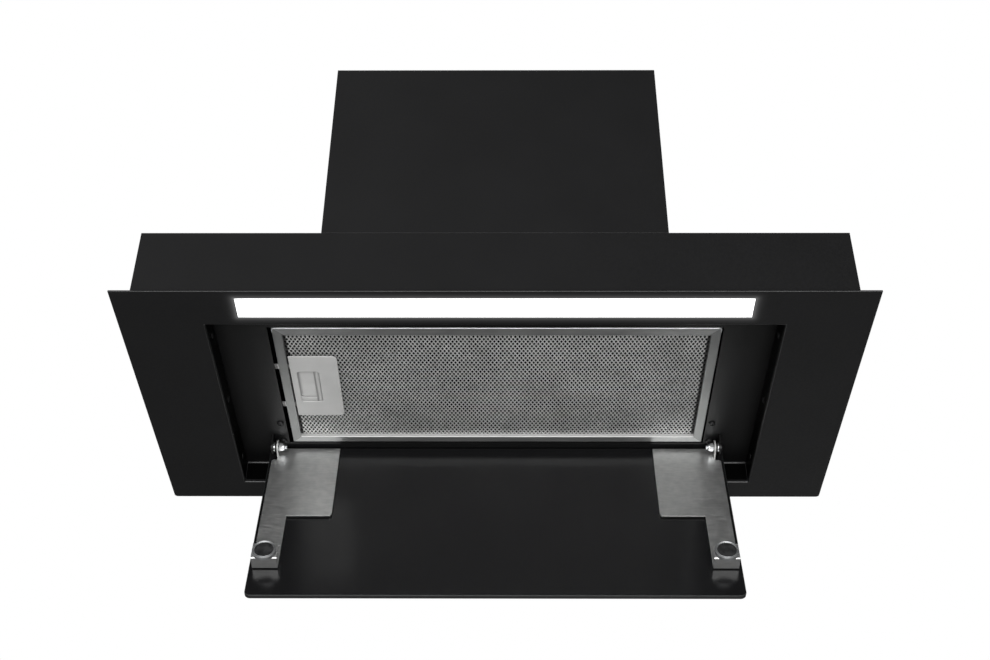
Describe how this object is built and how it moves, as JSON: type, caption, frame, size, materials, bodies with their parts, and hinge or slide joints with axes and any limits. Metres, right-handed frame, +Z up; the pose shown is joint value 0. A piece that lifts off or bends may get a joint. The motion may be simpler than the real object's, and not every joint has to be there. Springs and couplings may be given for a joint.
{
  "type": "built-in range hood",
  "caption": "Built-in range hood insert: black flanged body with a motor box, light strip, mesh grease filter and a drop-down glass flap held shut by magnets.",
  "frame": {"origin": "middle of the seat: the upper side of the body's foot flange, which lies against the cabinet", "axes": "+X to the right as seen from the front, +Y to the back, +Z up, out of the seat"},
  "size_m": [0.6, 0.3, 0.4593],
  "materials": {
    "black_sheet": "satin black powder coat",
    "recess_steel": "satin black powder coat",
    "steel": "brushed stainless steel",
    "zinc": "zinc plated steel",
    "filter_metal": "brushed aluminium",
    "mesh_metal": "expanded aluminium",
    "handle_metal": "satin aluminium",
    "glass_black": "black tempered glass",
    "black_screw": "black oxide",
    "black_plastic": "moulded black plastic",
    "nylon": "black nylon",
    "tape": "black foam tape",
    "magnet": "dark sintered magnet",
    "diffuser": "opal light diffuser",
    "profile": "extruded aluminium",
    "board": "white circuit board",
    "chip": "light chip resin",
    "blower_plastic": "glass filled nylon",
    "impeller_plastic": "moulded nylon",
    "motor_metal": "painted motor can",
    "rubber": "soft rubber",
    "capacitor_case": "white plastic can"
  },
  "bodies": {
    "housing": {"face_plate": "black_sheet", "body_shell": "black_sheet", "motor_box": "black_sheet", "motor_box_lid": "black_sheet", "filter_deck": "recess_steel", "hinge_bracket_left": "black_sheet", "hinge_bracket_right": "black_sheet", "hinge_screws": "black_screw", "hinge_bolts": "zinc", "hinge_washers": "zinc", "hinge_spacers": "nylon", "hinge_nuts": "zinc", "light_diffuser": "diffuser", "light_channel": "profile", "light_board": "board", "light_chips": "chip", "light_end_caps": "black_plastic", "filter_frame": "filter_metal", "filter_front_mesh": "mesh_metal", "filter_rear_mesh": "mesh_metal", "filter_core": "mesh_metal", "filter_handle": "handle_metal", "latch_spring": "steel", "volute_left": "blower_plastic", "volute_right": "blower_plastic", "blower_rail_left": "zinc", "blower_rail_right": "zinc", "fan_motor": "motor_metal", "motor_carrier": "zinc", "motor_bushes": "rubber", "outlet_collar": "black_plastic", "damper_pin": "steel", "control_box": "black_plastic", "control_lid": "black_plastic", "control_board": "board", "light_driver": "black_plastic", "capacitor": "capacitor_case", "capacitor_clip": "zinc", "cable_gland": "black_plastic", "gland_nut": "black_plastic"},
    "flap": {"flap_glass": "glass_black", "flap_bracket_left": "steel", "flap_bracket_right": "steel", "bracket_tape": "tape", "magnet_cups": "zinc", "magnet_cores": "magnet"},
    "latch": {"latch_slider": "handle_metal"},
    "fan": {"impeller": "impeller_plastic", "motor_shaft": "steel", "shaft_nut": "zinc"},
    "front_damper": {"damper_front": "black_plastic"},
    "rear_damper": {"damper_rear": "black_plastic"}
  },
  "joints": [
    {"name": "flap_hinge", "type": "hinge", "parent": "housing", "child": "flap", "pos_m": [0, 0.089, 0.012], "axis": [-1, 0, 0], "range_deg": [0, 75.13]},
    {"name": "latch_slide", "type": "slide", "parent": "housing", "child": "latch", "axis": [1, 0, 0], "range_m": [0, 0.0045], "stiffness_N_per_m": 200, "springref_m": -0.003, "deforming": ["latch_spring"]},
    {"name": "fan_spin", "type": "hinge", "parent": "housing", "child": "fan", "pos_m": [0, -0.045, 0.1625], "axis": [1, 0, 0], "continuous": true},
    {"name": "front_damper_hinge", "type": "hinge", "parent": "housing", "child": "front_damper", "pos_m": [0, 0.015, 0.2805], "axis": [-1, 0, 0], "range_deg": [0, 75]},
    {"name": "rear_damper_hinge", "type": "hinge", "parent": "housing", "child": "rear_damper", "pos_m": [0, 0.015, 0.2805], "axis": [1, 0, 0], "range_deg": [0, 75]}
  ]
}
